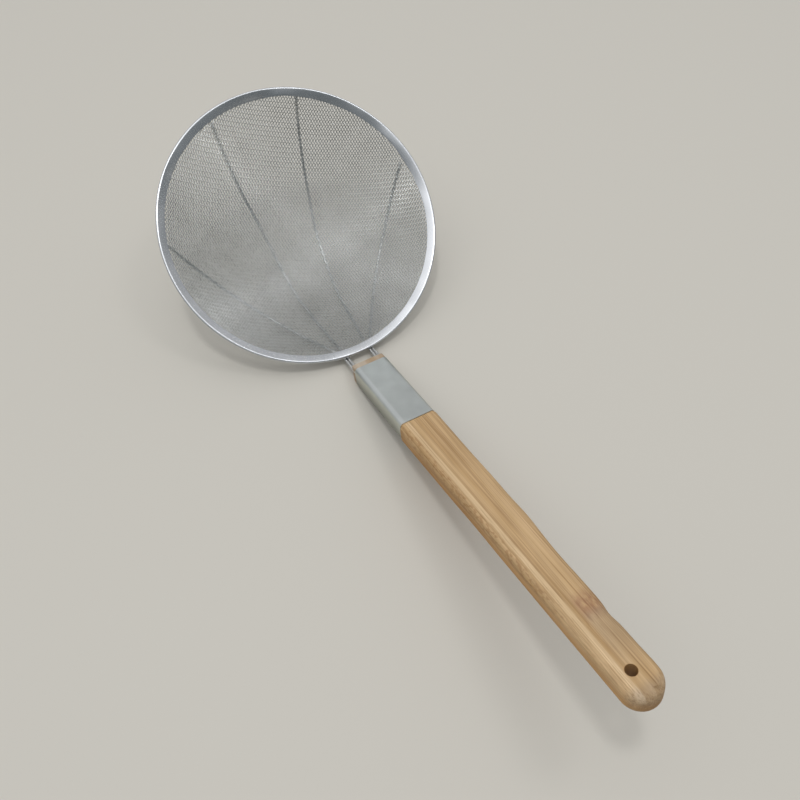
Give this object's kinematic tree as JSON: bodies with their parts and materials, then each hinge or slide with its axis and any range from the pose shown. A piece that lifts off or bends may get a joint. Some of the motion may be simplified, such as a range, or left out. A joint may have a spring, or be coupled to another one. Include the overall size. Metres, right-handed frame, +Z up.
{
  "type": "mesh skimmer",
  "caption": "Long-handled kitchen skimmer: a shallow fine-mesh bowl in a rolled steel rim, carried by wire ribs and a bamboo handle with a hanging hole.",
  "frame": {"origin": "On the surface that the skimmer lies on, under the middle of its bounding box.", "axes": "+X runs from the bowl towards the handle's end, +Y across to the right rib pair, +Z up; the skimmer lies mouth up on its inner ribs and the handle's nose, in front of the ferrule."},
  "size_m": [0.5136, 0.22, 0.1236],
  "materials": {
    "bamboo": "clear-oiled bamboo with a fine straight grain",
    "ferrule_steel": "satin stainless sheet",
    "rim_steel": "bright rolled stainless strip",
    "wire_steel": "drawn stainless wire",
    "mesh_steel": "fine woven stainless wire cloth"
  },
  "bodies": {
    "root": {"handle": "bamboo", "ferrule": "ferrule_steel", "ferrule_brad": "wire_steel", "rim": "rim_steel", "rim_core_wire": "wire_steel", "mesh_bowl": "mesh_steel", "outer_rib_left": "wire_steel", "inner_rib_left": "wire_steel", "inner_rib_right": "wire_steel", "outer_rib_right": "wire_steel"}
  },
  "joints": []
}
